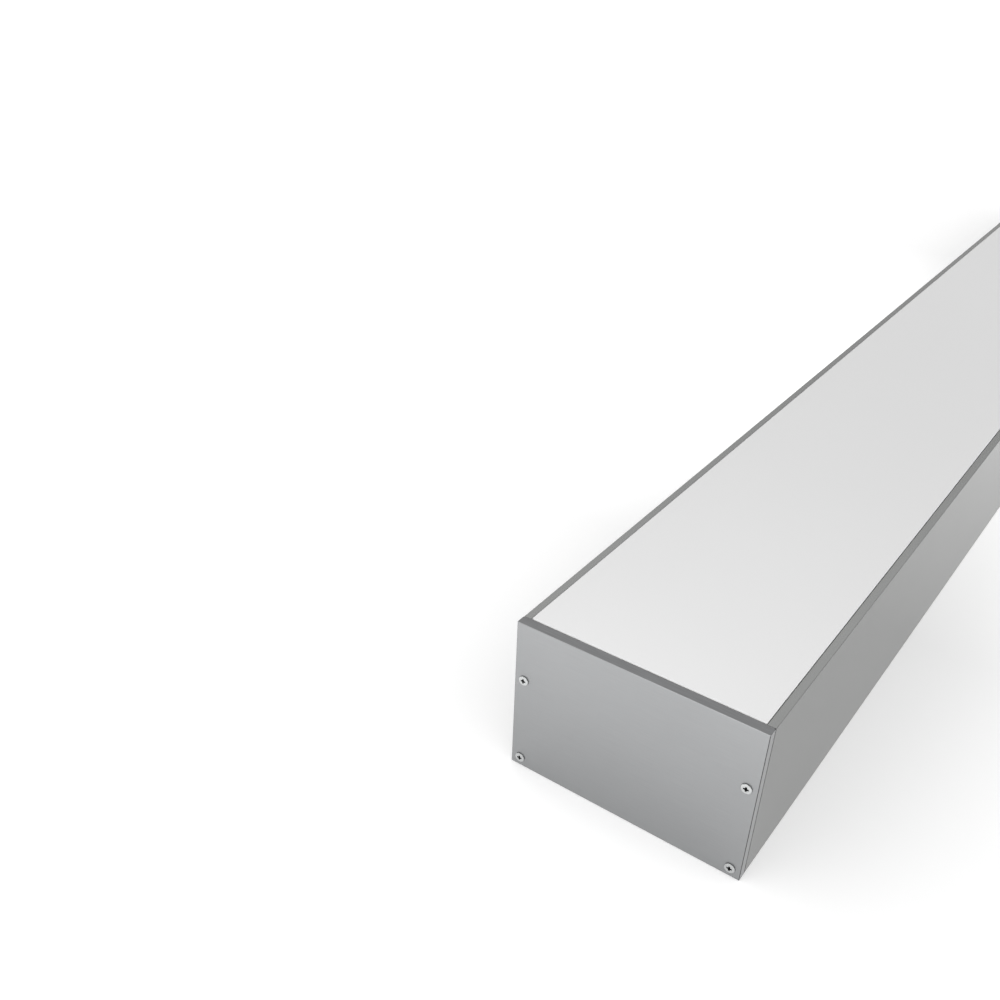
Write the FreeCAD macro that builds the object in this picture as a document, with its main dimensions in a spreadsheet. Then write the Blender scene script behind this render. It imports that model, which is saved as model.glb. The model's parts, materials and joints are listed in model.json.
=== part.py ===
"""Closed radiant baseboard heater: one extruded aluminium bar with a white radiant face.

The bar lies on its wall face. X runs along its length, Y across it and Z up, out of the wall.
The origin is at the middle of the wall face. Everything is in millimetres.
"""

import FreeCAD, Part

import math
import os

import Sketcher
from FreeCAD import Placement, Rotation, Vector

doc = FreeCAD.newDocument("baseboard_heater")

SIZES = {
    # casing
    "overall_length": 1200,
    "casing_width": 128,
    "casing_height": 90,
    "wall": 3,
    "lip_width": 4,
    "edge_radius": 0.5,
    "groove_back": 2.2,
    "groove_top": 88.4,
    "groove_floor": 86.6,
    "panel_ledge_width": 7,
    "panel_ledge_thickness": 2,
    "tray_ledge_top": 32,
    "tray_ledge_width": 11,
    "tray_ledge_thickness": 2,
    # screw ports, and the screws in them
    "port_inset": 5.3,
    "port_low": 5.3,
    "port_high": 56.3,
    "port_radius": 3.3,
    "port_bore": 1.55,
    "screw_shank": 1.5,
    "screw_head": 2.75,
    "screw_head_height": 0.8,
    "end_screw_length": 18,
    "tray_screw_length": 6,
    "section_screw_inset": 15,
    "wiring_screw_start": 8,
    "wiring_screw_end": 12,
    # wall rail: a T-slot along the back of the casing
    "slot_width": 8.4,
    "slot_lip": 2.5,
    "slot_cavity_width": 17,
    "slot_cavity_top": 7.7,
    "rail_wall": 2,
    # ends
    "plate_thickness": 5,
    "plate_chamfer": 0.25,
    "plate_hole": 1.7,
    "gasket_thickness": 0.6,
    "gasket_inset": 0.8,
    "gasket_top_gap": 0.05,
    "gasket_border": 13,
    "bead_floor": 87,
    "bead_top": 89.3,
    "bead_side_gap": 0.2,
    # radiant panel
    "panel_width": 119.4,
    "panel_shift": 0.2,
    "panel_end_gap": 0.95,
    "panel_end_chamfer": 0.5,
    "panel_side_chamfer": 0.1,
    "tongue_width": 122.8,
    "tongue_top": 88.2,
    # heater section
    "spreader_start": -530,
    "spreader_length": 940,
    "spreader_width": 100,
    "spreader_thickness": 4,
    "element_radius": 4.25,
    "element_spacing": 50,
    "element_bend_start": -540,
    "element_end": 440,
    "element_sink": 1,
    "groove_clearance": 0.1,
    "seal_radius": 4.9,
    "seal_length": 10,
    "pin_radius": 1.5,
    "pin_end": 468,
    "clamp_inset": 50,
    "clamp_span": 66,
    "clamp_width": 15,
    "clamp_thickness": 1.5,
    "clamp_hole": 2.2,
    "clamp_screw_radius": 2,
    "clamp_screw_head": 3.5,
    "clamp_screw_hole": 2.05,
    "clamp_screw_bite": 2.5,
    "section_start": -585,
    "section_length": 1010,
    "section_width": 106,
    "tray_width": 120,
    "tray_thickness": 1.2,
    "insulation_thickness": 25,
    "reflector_thickness": 0.6,
    "reflector_rise": 12,
    # wiring compartment
    "wiring_start": 440,
    "wiring_length": 148,
    "entry_station": 462,
    "entry_offset": 35,
    "entry_hole": 6,
    "entry_recess": 9,
    "entry_recess_depth": 1,
    "grommet_gap": 0.1,
    "grommet_bore": 4,
    "grommet_rise": 1.5,
    "block_station": 480,
    "block_length": 24,
    "block_centre": -20,
    "block_width": 44,
    "block_height": 17,
    "block_screw_inset": 3,
    "pole_pitch": 11,
    "pole_height": 41,
    "pole_bore": 2,
    "well_spread": 6,
    "well_radius": 3.1,
    "terminal_screw_length": 3.2,
    "terminal_screw_rise": 4.6,
    "cutout_station": 548,
    "cutout_length": 26,
    "cutout_width": 22,
    "cutout_floor": 35.4,
    "cutout_height": 21,
    "tab_length": 7,
    "tab_width": 6.3,
    "tab_thickness": 0.8,
    "tab_floor": 50,
    "tab_spread": 6,
    "bracket_margin": 2,
    "bracket_height": 28,
    "bracket_foot": 39,
    "bracket_opening": 4.5,
    "bracket_screw_inset": 5,
    "bracket_screw_spread": 8,
    "bracket_screw_length": 1.2,
    "button_offset": 35,
    "button_height": 46,
    "button_radius": 3,
    "button_hole": 3.3,
    "button_proud": 1.2,
    "button_rounding": 0.5,
    "button_flange": 4.2,
    "button_flange_thickness": 2,
    "button_flange_gap": 0.3,
    "plunger_radius": 2,
    "plunger_gap": 2,
    "stud_station": 500,
    "stud_offset": 20,
    "stud_radius": 2,
    "stud_length": 12,
    "stud_flange": 4,
    "stud_flange_height": 1.2,
    "ring_radius": 3.8,
    "ring_bore": 2.1,
    "ring_thickness": 0.8,
    "ring_tongue_length": 9,
    "ring_tongue_width": 4,
    "earth_nut_radius": 4,
    "earth_nut_bore": 2.05,
    "earth_nut_height": 3.2,
    "wire_radius": 1.2,
    "wire_bend": 4,
    "wire_bite": 4,
    "neutral_rise_station": 518,
    "element_rise_station": 526,
    "live_rise_station": 532,
    "earth_drop_station": 518,
    # wall nuts
    "nut_station": 400,
    "nut_length": 30,
    "nut_clearance": 0.3,
    "nut_recess": 0.6,
    "nut_bore": 2.5,
}


def fill_sheet():
    sheet = doc.addObject("Spreadsheet::Sheet", "Sizes")
    for row, (alias, size) in enumerate(SIZES.items(), start=1):
        sheet.set(f"A{row}", alias)
        sheet.set(f"B{row}", str(size))
        sheet.setAlias(f"B{row}", alias)
    doc.recompute()
    return sheet


sheet = fill_sheet()
nodes = []

# Lengths that several sub-parts share, as expressions in the sheet's cells.
HALF_LENGTH = "Sizes.overall_length / 2"
END_STACK = "(Sizes.plate_thickness + Sizes.gasket_thickness)"
CASING_LENGTH = f"(Sizes.overall_length - 2 * {END_STACK})"
CASING_START = f"-{CASING_LENGTH} / 2"
HALF_WIDTH = "Sizes.casing_width / 2"
PORT_Y = "(Sizes.casing_width / 2 - Sizes.port_inset)"
LEG_Y = "Sizes.element_spacing / 2"
SPREADER_FLOOR = "(Sizes.groove_floor - Sizes.spreader_thickness)"
TRAY_TOP = "(Sizes.tray_ledge_top + Sizes.tray_thickness)"
TRAY_SCREW_Y = "(Sizes.tray_width / 2 - Sizes.wall)"
ELEMENT_HEIGHT = f"({SPREADER_FLOOR} - Sizes.element_sink)"
BRACKET_X = "(Sizes.cutout_station + Sizes.cutout_length)"
SIDES = (-1, 1)
CLAMP_COUNT = 5

# How far a cutting tool runs past the faces that it cuts through.
PAST = 1


def size(expression):
    """The value of an expression, in millimetres."""
    return float(sheet.evalExpression(str(expression)))


def bind(item, prop, expression):
    item.setExpression(prop, str(expression))


def place(item, x=0, y=0, z=0):
    """Moves an object to a point given by expressions."""
    for axis, expression in zip("xyz", (x, y, z)):
        bind(item, f".Placement.Base.{axis}", expression)


def node(item, label):
    """Marks a finished object as a sub-part, under the label that names its file."""
    item.Label = label
    nodes.append(item)
    return item


# Sketches and PartDesign bodies


def sketch_on(body, plane, name, lift="0"):
    """A sketch on one of the body's origin planes, raised along the plane's normal."""
    sketch = body.newObject("Sketcher::SketchObject", name)
    support = next(f for f in body.Origin.OriginFeatures if f.Role == plane)
    sketch.AttachmentSupport = (support, [""])
    sketch.MapMode = "FlatFace"
    bind(sketch, ".AttachmentOffset.Base.z", lift)
    return sketch


def fix_point(sketch, geometry, point, place_2d):
    """Ties a point of a sketch to the sketch's origin by two dimensions."""
    for kind, axis, expression in zip(("DistanceX", "DistanceY"), (-2, -1), place_2d):
        if abs(size(expression)) < 1e-9:
            sketch.addConstraint(Sketcher.Constraint("PointOnObject", geometry, point, axis))
            continue
        dimension = Sketcher.Constraint(kind, -1, 1, geometry, point, size(expression))
        index = sketch.addConstraint(dimension)
        bind(sketch, f"Constraints[{index}]", expression)


def add_outline(sketch, corners):
    """A closed outline of straight lines through corners given as pairs of expressions."""
    spots = [Vector(size(u), size(v), 0) for u, v in corners]
    first = sketch.GeometryCount
    for start, end in zip(spots, spots[1:] + spots[:1]):
        sketch.addGeometry(Part.LineSegment(start, end), False)
    for index, corner in enumerate(corners):
        line = first + index
        following = first + (index + 1) % len(corners)
        sketch.addConstraint(Sketcher.Constraint("Coincident", line, 2, following, 1))
        fix_point(sketch, line, 1, corner)


def add_circle(sketch, centre, radius):
    spot = Vector(size(centre[0]), size(centre[1]), 0)
    circle = Part.Circle(spot, Vector(0, 0, 1), size(radius))
    geometry = sketch.addGeometry(circle, False)
    fix_point(sketch, geometry, 3, centre)
    index = sketch.addConstraint(Sketcher.Constraint("Radius", geometry, size(radius)))
    bind(sketch, f"Constraints[{index}]", radius)


def rectangle(half_width, low, high):
    """An outline from -half_width to half_width across, and from low to high up."""
    return [
        (f"-({half_width})", low),
        (half_width, low),
        (half_width, high),
        (f"-({half_width})", high),
    ]


def mirrored(half_outline):
    """Both halves of an outline, from the half with its first value above zero."""
    other = [(f"-({u})", v) for u, v in reversed(half_outline)]
    return half_outline + other


def new_body(name):
    return doc.addObject("PartDesign::Body", name)


def pad(body, sketch, length, name):
    feature = body.newObject("PartDesign::Pad", name)
    feature.Profile = sketch
    bind(feature, "Length", length)
    doc.recompute()
    return feature


def pocket(body, sketch, length, name):
    """Cuts along the sketch's normal, and makes sure that something was cut."""
    before = body.Shape.Volume
    feature = body.newObject("PartDesign::Pocket", name)
    feature.Profile = sketch
    feature.Reversed = True
    bind(feature, "Length", length)
    doc.recompute()
    if body.Shape.Volume >= before:
        raise RuntimeError(f"{name} cuts nothing")
    return feature


def edge_names(shape, wanted):
    return [f"Edge{i}" for i, edge in enumerate(shape.Edges, start=1) if wanted(edge)]


def dress(body, kind, wanted, amount, name):
    """A chamfer or fillet on the edges of the body's tip for which wanted(edge) is true."""
    tip = body.Tip
    feature = body.newObject(f"PartDesign::{kind}", name)
    feature.Base = (tip, edge_names(tip.Shape, wanted))
    bind(feature, "Radius" if kind == "Fillet" else "Size", amount)
    doc.recompute()
    return feature


def along_x_at(y, z):
    """A test for edges that run along X at a given place across the bar."""

    def wanted(edge):
        box = edge.BoundBox
        straight = box.YLength < 1e-6 and box.ZLength < 1e-6
        return straight and abs(abs(box.YMin) - y) < 1e-4 and abs(box.ZMin - z) < 1e-4

    return wanted


# Part primitives, booleans and sweeps


def box(name, length, width, height, x=0, y=0, z=0):
    item = doc.addObject("Part::Box", name)
    bind(item, "Length", length)
    bind(item, "Width", width)
    bind(item, "Height", height)
    place(item, x, y, z)
    return item


def cylinder(name, radius, height, x=0, y=0, z=0, axis="z"):
    item = doc.addObject("Part::Cylinder", name)
    if axis == "x":
        item.Placement = Placement(Vector(), Rotation(Vector(0, 1, 0), 90))
    bind(item, "Radius", radius)
    bind(item, "Height", height)
    place(item, x, y, z)
    return item


def cut(name, base, tools):
    """The base less its tools."""
    joined = tools[0]
    if len(tools) > 1:
        joined = doc.addObject("Part::MultiFuse", f"{name}_tools")
        joined.Shapes = tools
    item = doc.addObject("Part::Cut", name)
    item.Base = base
    item.Tool = joined
    doc.recompute()
    if item.Shape.Volume >= base.Shape.Volume:
        raise RuntimeError(f"{name} cuts nothing")
    return item


def fuse(name, shapes):
    item = doc.addObject("Part::MultiFuse", name)
    item.Shapes = shapes
    return item


def grouped(label, shapes):
    """One node of several separate solids."""
    item = doc.addObject("Part::Feature", label)
    item.Shape = Part.makeCompound(shapes)
    return node(item, label)


def pan_head_screw(shank, length, head, head_height):
    """A low pan head screw with a cross recess, its head up and its seat at z = 0."""
    rounding = 0.45 * head_height
    arm_length = 1.0 * head
    arm_width = 0.28 * head
    floor = 0.4 * head_height
    tip_chamfer = 0.25 * shank
    dome = Part.makeCylinder(head, head_height)
    rim = [e for e in dome.Edges if e.BoundBox.ZMin > head_height - 1e-6]
    dome = dome.makeFillet(rounding, rim)
    arm = Part.makeBox(arm_length, arm_width, head_height)
    arm.translate(Vector(-arm_length / 2, -arm_width / 2, floor))
    cross = arm.copy()
    cross.rotate(Vector(), Vector(0, 0, 1), 90)
    body = dome.cut(arm.fuse(cross))
    stem = Part.makeCylinder(shank, length, Vector(0, 0, -length))
    tip = [e for e in stem.Edges if e.BoundBox.ZMax < -length + 1e-6]
    stem = stem.makeChamfer(tip_chamfer, tip)
    return body.fuse(stem).removeSplitter()


def turned(shape, spot, direction):
    """A copy of a shape made with its head along +Z, moved to a spot and turned to face a way."""
    copy = shape.copy()
    turn = Rotation(Vector(0, 0, 1), direction)
    copy.Placement = Placement(spot, turn)
    return copy


def rounded_run(corners, bend):
    """Straight runs through the corners, joined by tangent arcs of one radius."""
    edges = []
    start = corners[0]
    for before, corner, after in zip(corners, corners[1:], corners[2:]):
        incoming = (corner - before).normalize()
        outgoing = (after - corner).normalize()
        turn = incoming.getAngle(outgoing)
        reach = bend * math.tan(turn / 2)
        leave = corner - incoming * reach
        join = corner + outgoing * reach
        inward = (outgoing - incoming).normalize()
        centre = corner + inward * (bend / math.cos(turn / 2))
        middle = centre - inward * bend
        edges.append(Part.LineSegment(start, leave).toShape())
        edges.append(Part.Arc(leave, middle, join).toShape())
        start = join
    edges.append(Part.LineSegment(start, corners[-1]).toShape())
    return Part.Wire(edges)


def rod_along(path, radius):
    """A round rod along a path of lines and tangent arcs."""
    first = path.OrderedEdges[0]
    spot = path.OrderedVertexes[0].Point
    heading = first.tangentAt(first.FirstParameter)
    if (first.valueAt(first.FirstParameter) - spot).Length > 1e-6:
        heading = first.tangentAt(first.LastParameter) * -1
    ring = Part.Wire([Part.Circle(spot, heading, radius).toShape()])
    rod = path.makePipeShell([ring], True, False)
    expected = math.pi * radius**2 * path.Length
    if abs(rod.Volume / expected - 1) > 0.01:
        raise RuntimeError("a rod's volume isn't its section times its length")
    return rod


def rod_node(label, corners, radius, bend):
    item = doc.addObject("Part::Feature", label)
    item.Shape = rod_along(rounded_run([Vector(*c) for c in corners], bend), radius)
    return node(item, label)


# Casing


def casing_outline():
    """Half of the casing's profile, from the wall rail's mouth round to the lip."""
    inner = f"{HALF_WIDTH} - Sizes.wall"
    lip = f"{HALF_WIDTH} - Sizes.lip_width"
    groove = f"{HALF_WIDTH} - Sizes.groove_back"
    panel_ledge = f"{HALF_WIDTH} - Sizes.panel_ledge_width"
    panel_ledge_under = "Sizes.groove_floor - Sizes.panel_ledge_thickness"
    tray_ledge = f"{HALF_WIDTH} - Sizes.tray_ledge_width"
    tray_ledge_under = "Sizes.tray_ledge_top - Sizes.tray_ledge_thickness"
    rail_side = "Sizes.slot_cavity_width / 2 + Sizes.rail_wall"
    rail_top = "Sizes.slot_cavity_top + Sizes.rail_wall"
    outside = [
        ("Sizes.slot_cavity_width / 2", "Sizes.slot_cavity_top"),
        ("Sizes.slot_cavity_width / 2", "Sizes.slot_lip"),
        ("Sizes.slot_width / 2", "Sizes.slot_lip"),
        ("Sizes.slot_width / 2", "0"),
        (HALF_WIDTH, "0"),
        (HALF_WIDTH, "Sizes.casing_height"),
    ]
    inside = [
        (lip, "Sizes.casing_height"),
        (lip, "Sizes.groove_top"),
        (groove, "Sizes.groove_top"),
        (groove, "Sizes.groove_floor"),
        (panel_ledge, "Sizes.groove_floor"),
        (panel_ledge, panel_ledge_under),
        (inner, panel_ledge_under),
        (inner, "Sizes.tray_ledge_top"),
        (tray_ledge, "Sizes.tray_ledge_top"),
        (tray_ledge, tray_ledge_under),
        (inner, tray_ledge_under),
        (inner, "Sizes.wall"),
        (rail_side, "Sizes.wall"),
        (rail_side, rail_top),
    ]
    return outside + inside


def ports():
    """The centres of the four screw ports, as (y, z) expressions."""
    heights = ("Sizes.port_low", "Sizes.port_high")
    return [(f"{side} * {PORT_Y}", z) for side in SIDES for z in heights]


def tray_screw_stations():
    """The places along X of the screws that hold the two trays, as expressions."""
    section_end = "Sizes.section_start + Sizes.section_length"
    wiring_end = "Sizes.wiring_start + Sizes.wiring_length"
    return {
        "carrier_tray": (
            "Sizes.section_start + Sizes.section_screw_inset",
            f"{section_end} - Sizes.section_screw_inset",
        ),
        "wiring_tray": (
            "Sizes.wiring_start + Sizes.wiring_screw_start",
            f"{wiring_end} - Sizes.wiring_screw_end",
        ),
    }


def make_casing():
    body = new_body("casing_extrusion")
    profile = sketch_on(body, "YZ_Plane", "casing_profile")
    add_outline(profile, mirrored(casing_outline()))
    pad(body, profile, CASING_LENGTH, "casing_pad")

    bosses = sketch_on(body, "YZ_Plane", "port_bosses")
    for centre in ports():
        add_circle(bosses, centre, "Sizes.port_radius")
    pad(body, bosses, CASING_LENGTH, "port_pad")

    outer = along_x_at(size(HALF_WIDTH), size("Sizes.casing_height"))
    base = along_x_at(size(HALF_WIDTH), 0)
    dress(body, "Fillet", lambda e: outer(e) or base(e), "Sizes.edge_radius", "outer_edges")

    bores = sketch_on(body, "YZ_Plane", "port_bores")
    for centre in ports():
        add_circle(bores, centre, "Sizes.port_bore")
    pocket(body, bores, CASING_LENGTH, "port_pocket")

    ledge_floor = f"Sizes.tray_ledge_top - Sizes.tray_ledge_thickness - {PAST}"
    holes = sketch_on(body, "XY_Plane", "tray_screw_holes", ledge_floor)
    for stations in tray_screw_stations().values():
        for x in stations:
            for side in SIDES:
                spot = (f"{x} + {CASING_LENGTH} / 2", f"{side} * {TRAY_SCREW_Y}")
                add_circle(holes, spot, "Sizes.port_bore")
    pocket(body, holes, f"Sizes.tray_ledge_thickness + 2 * {PAST}", "tray_screw_pocket")

    entry = (f"Sizes.entry_station + {CASING_LENGTH} / 2", "Sizes.entry_offset")
    recess = sketch_on(body, "XY_Plane", "entry_recess")
    add_circle(recess, entry, "Sizes.entry_recess")
    pocket(body, recess, "Sizes.entry_recess_depth", "entry_recess_pocket")
    hole = sketch_on(body, "XY_Plane", "entry_hole")
    add_circle(hole, entry, "Sizes.entry_hole")
    pocket(body, hole, "Sizes.wall", "entry_pocket")

    place(body, CASING_START)
    return node(body, "casing_extrusion")


# Ends


def make_end_plate(label, side, button_hole):
    """An end plate, its outer face towards -X for side -1 and towards +X for side 1."""
    body = new_body(label)
    face = sketch_on(body, "YZ_Plane", f"{label}_face")
    add_outline(face, rectangle(HALF_WIDTH, "0", "Sizes.casing_height"))
    for centre in ports():
        add_circle(face, centre, "Sizes.plate_hole")
    if button_hole:
        add_circle(face, ("Sizes.button_offset", "Sizes.button_height"), "Sizes.button_hole")
    pad(body, face, "Sizes.plate_thickness", f"{label}_pad")
    outer_x = 0 if side < 0 else size("Sizes.plate_thickness")

    def outer_rim(edge):
        box = edge.BoundBox
        on_face = box.XLength < 1e-6 and abs(box.XMin - outer_x) < 1e-6
        return on_face and edge.Curve.TypeId == "Part::GeomLine"

    dress(body, "Chamfer", outer_rim, "Sizes.plate_chamfer", f"{label}_edge_break")
    start = f"-({HALF_LENGTH})" if side < 0 else f"{HALF_LENGTH} - Sizes.plate_thickness"
    place(body, start)
    return node(body, label)


def make_gasket(label, side):
    """A flat frame between an end plate and the casing, with a bead that seals the panel's end."""
    body = new_body(label)
    frame = sketch_on(body, "YZ_Plane", f"{label}_frame")
    outer = f"{HALF_WIDTH} - Sizes.gasket_inset"
    outer_top = "Sizes.casing_height - Sizes.gasket_top_gap"
    add_outline(frame, rectangle(outer, "Sizes.gasket_inset", outer_top))
    window = f"{HALF_WIDTH} - Sizes.gasket_border"
    window_top = "Sizes.casing_height - Sizes.gasket_border"
    add_outline(frame, rectangle(window, "Sizes.gasket_border", window_top))
    for centre in ports():
        add_circle(frame, centre, "Sizes.plate_hole")
    pad(body, frame, "Sizes.gasket_thickness", f"{label}_pad")

    bead_start = "0" if side < 0 else "-Sizes.panel_end_gap"
    bead = sketch_on(body, "YZ_Plane", f"{label}_bead_outline", bead_start)
    bead_side = f"{HALF_WIDTH} - Sizes.lip_width - Sizes.bead_side_gap"
    add_outline(bead, rectangle(bead_side, "Sizes.bead_floor", "Sizes.bead_top"))
    pad(body, bead, "Sizes.gasket_thickness + Sizes.panel_end_gap", f"{label}_bead")
    inner_face = f"({HALF_LENGTH} - Sizes.plate_thickness)"
    place(body, f"-{inner_face}" if side < 0 else f"{inner_face} - Sizes.gasket_thickness")
    return node(body, label)


def common_screw(length):
    """The screw used all over the bar, of a length given by an expression."""
    return pan_head_screw(
        size("Sizes.screw_shank"),
        size(length),
        size("Sizes.screw_head"),
        size("Sizes.screw_head_height"),
    )


def make_end_screws(label, side):
    screw = common_screw("Sizes.end_screw_length")
    x = side * size(HALF_LENGTH)
    spots = [Vector(x, size(y), size(z)) for y, z in ports()]
    return grouped(label, [turned(screw, spot, Vector(side, 0, 0)) for spot in spots])


# Radiant panel


def make_panel():
    """The white face plate, whose tongues slide in the casing's grooves, pushed to one side."""
    body = new_body("radiant_panel")
    profile = sketch_on(body, "YZ_Plane", "panel_profile")
    half = [
        ("Sizes.tongue_width / 2", "Sizes.groove_floor"),
        ("Sizes.tongue_width / 2", "Sizes.tongue_top"),
        ("Sizes.panel_width / 2", "Sizes.tongue_top"),
        ("Sizes.panel_width / 2", "Sizes.casing_height"),
    ]
    add_outline(profile, mirrored(half))
    panel_length = f"{CASING_LENGTH} - 2 * Sizes.panel_end_gap"
    pad(body, profile, panel_length, "panel_pad")
    top = size("Sizes.casing_height")

    def end_rim(edge):
        bounds = edge.BoundBox
        return bounds.XLength < 1e-6 and bounds.ZLength < 1e-6 and bounds.ZMin > top - 1e-6

    dress(body, "Chamfer", end_rim, "Sizes.panel_end_chamfer", "panel_end_edge_break")
    sides = along_x_at(size("Sizes.panel_width / 2"), top)
    dress(body, "Chamfer", sides, "Sizes.panel_side_chamfer", "panel_side_edge_break")
    place(body, f"{CASING_START} + Sizes.panel_end_gap", "Sizes.panel_shift")
    return node(body, "radiant_panel")


# Heater section


def make_spreader():
    """The plate bonded under the panel, with a half-round groove for each leg of the element."""
    plate = box(
        "spreader_plate",
        "Sizes.spreader_length",
        "Sizes.spreader_width",
        "Sizes.spreader_thickness",
        "Sizes.spreader_start",
        "-Sizes.spreader_width / 2",
        SPREADER_FLOOR,
    )
    tools = []
    for side in SIDES:
        tools.append(
            cylinder(
                f"spreader_groove_{len(tools)}",
                "Sizes.element_radius + Sizes.groove_clearance",
                f"Sizes.spreader_length + 2 * {PAST}",
                f"Sizes.spreader_start - {PAST}",
                f"{side} * {LEG_Y}",
                ELEMENT_HEIGHT,
                axis="x",
            )
        )
    depth = f"Sizes.clamp_screw_bite + 2 * {PAST}"
    for index, x in enumerate(clamp_stations()):
        name = f"spreader_screw_hole_{index}"
        floor = f"{SPREADER_FLOOR} - {PAST}"
        tools.append(cylinder(name, "Sizes.clamp_screw_hole", depth, x, 0, floor))
    return node(cut("heat_spreader", plate, tools), "heat_spreader")


def clamp_stations():
    """The places along X of the element clamps, as expressions."""
    pitch = f"(Sizes.spreader_length - 2 * Sizes.clamp_inset) / {CLAMP_COUNT - 1}"
    first = "Sizes.spreader_start + Sizes.clamp_inset"
    return [f"{first} + {i} * {pitch}" for i in range(CLAMP_COUNT)]


def make_element():
    """A metal-sheathed hairpin, with a ceramic seal and a pin at the end of each leg."""
    leg = size(LEG_Y)
    z = size(ELEMENT_HEIGHT)
    bend_x = size("Sizes.element_bend_start")
    end_x = size("Sizes.element_end")
    start, finish = Vector(end_x, leg, z), Vector(end_x, -leg, z)
    near, far = Vector(bend_x, leg, z), Vector(bend_x, -leg, z)
    crown = Vector(bend_x - leg, 0, z)
    edges = [
        Part.LineSegment(start, near).toShape(),
        Part.Arc(near, crown, far).toShape(),
        Part.LineSegment(far, finish).toShape(),
    ]
    item = doc.addObject("Part::Feature", "heating_element")
    item.Shape = rod_along(Part.Wire(edges), size("Sizes.element_radius"))
    node(item, "heating_element")

    seal_length = size("Sizes.seal_length")
    seals, pins = [], []
    for side in SIDES:
        seat = Vector(end_x, side * leg, z)
        seals.append(Part.makeCylinder(size("Sizes.seal_radius"), seal_length, seat, Vector(1, 0, 0)))
        pin_start = Vector(end_x + seal_length, side * leg, z)
        pin_length = size("Sizes.pin_end") - pin_start.x
        pins.append(Part.makeCylinder(size("Sizes.pin_radius"), pin_length, pin_start, Vector(1, 0, 0)))
    grouped("element_end_seals", seals)
    grouped("element_pins", pins)


def make_clamps():
    """Bars that press the element's legs into the spreader, with one screw each."""
    thickness = size("Sizes.clamp_thickness")
    width = size("Sizes.clamp_width")
    span = size("Sizes.clamp_span")
    top = size(ELEMENT_HEIGHT) - size("Sizes.element_radius")
    bar = Part.makeBox(width, span, thickness, Vector(-width / 2, -span / 2, -thickness))
    bar = bar.cut(Part.makeCylinder(size("Sizes.clamp_hole"), thickness, Vector(0, 0, -thickness)))
    reach = top - thickness
    screw = pan_head_screw(
        size("Sizes.clamp_screw_radius"),
        size(f"{SPREADER_FLOOR} + Sizes.clamp_screw_bite") - reach,
        size("Sizes.clamp_screw_head"),
        size("Sizes.screw_head_height"),
    )
    bars, screws = [], []
    for x in clamp_stations():
        bars.append(turned(bar, Vector(size(x), 0, top), Vector(0, 0, 1)))
        screws.append(turned(screw, Vector(size(x), 0, reach), Vector(0, 0, -1)))
    grouped("element_clamps", bars)
    grouped("element_clamp_screws", screws)


def make_trays():
    """Two steel trays on the casing's lower ledges: one for the insulation, one for the wiring."""
    spans = {
        "carrier_tray": ("Sizes.section_start", "Sizes.section_length"),
        "wiring_tray": ("Sizes.wiring_start", "Sizes.wiring_length"),
    }
    for label, (start, length) in spans.items():
        body = new_body(label)
        plan = sketch_on(body, "XY_Plane", f"{label}_plan")
        half = "Sizes.tray_width / 2"
        corners = [(0, f"-{half}"), (length, f"-{half}"), (length, half), (0, half)]
        add_outline(plan, corners)
        for x in tray_screw_stations()[label]:
            for side in SIDES:
                spot = (f"{x} - ({start})", f"{side} * {TRAY_SCREW_Y}")
                add_circle(plan, spot, "Sizes.plate_hole")
        if label == "wiring_tray":
            entry = (f"Sizes.entry_station - ({start})", "Sizes.entry_offset")
            add_circle(plan, entry, "Sizes.entry_hole")
        pad(body, plan, "Sizes.tray_thickness", f"{label}_pad")
        place(body, start, 0, "Sizes.tray_ledge_top")
        node(body, label)


def make_tray_screws():
    screw = common_screw("Sizes.tray_screw_length")
    for tray, stations in tray_screw_stations().items():
        shapes = []
        for x in stations:
            for side in SIDES:
                spot = Vector(size(x), side * size(TRAY_SCREW_Y), size(TRAY_TOP))
                shapes.append(turned(screw, spot, Vector(0, 0, 1)))
        grouped(f"{tray}_screws", shapes)


def make_insulation():
    slab = box(
        "insulation_board",
        "Sizes.section_length",
        "Sizes.section_width",
        "Sizes.insulation_thickness",
        "Sizes.section_start",
        "-Sizes.section_width / 2",
        TRAY_TOP,
    )
    return node(slab, "insulation_board")


def make_reflector():
    """A bright sheet over the insulation, with its long edges turned up."""
    body = new_body("reflector_sheet")
    profile = sketch_on(body, "YZ_Plane", "reflector_profile")
    floor = f"{TRAY_TOP} + Sizes.insulation_thickness"
    half_width = "Sizes.section_width / 2"
    inner = f"{half_width} - Sizes.reflector_thickness"
    half = [
        (half_width, floor),
        (half_width, f"{floor} + Sizes.reflector_rise"),
        (inner, f"{floor} + Sizes.reflector_rise"),
        (inner, f"{floor} + Sizes.reflector_thickness"),
    ]
    add_outline(profile, mirrored(half))
    pad(body, profile, "Sizes.section_length", "reflector_pad")
    place(body, "Sizes.section_start")
    return node(body, "reflector_sheet")


# Wiring compartment


def make_grommet():
    """A grommet that lines the cable entry in the wall face."""
    x, y, gap = "Sizes.entry_station", "Sizes.entry_offset", "Sizes.grommet_gap"
    height = "Sizes.wall + Sizes.grommet_rise"
    rim = f"Sizes.entry_recess - {gap}"
    lower = cylinder("grommet_lower", rim, f"Sizes.entry_recess_depth - {gap}", x, y, gap)
    neck = cylinder("grommet_neck", f"Sizes.entry_hole - {gap}", f"{height} - {gap}", x, y, gap)
    upper = cylinder("grommet_upper", "Sizes.entry_recess", "Sizes.grommet_rise", x, y, "Sizes.wall")
    bore = cylinder("grommet_bore", "Sizes.grommet_bore", f"{height} + 2 * {PAST}", x, y, -PAST)
    solid = fuse("grommet_solid", [lower, neck, upper])
    return node(cut("cable_entry_grommet", solid, [bore]), "cable_entry_grommet")


def pole_offsets():
    """The places across the bar of the terminal block's poles, as expressions."""
    return [f"Sizes.block_centre + {i} * Sizes.pole_pitch" for i in (-1, 0, 1)]


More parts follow.
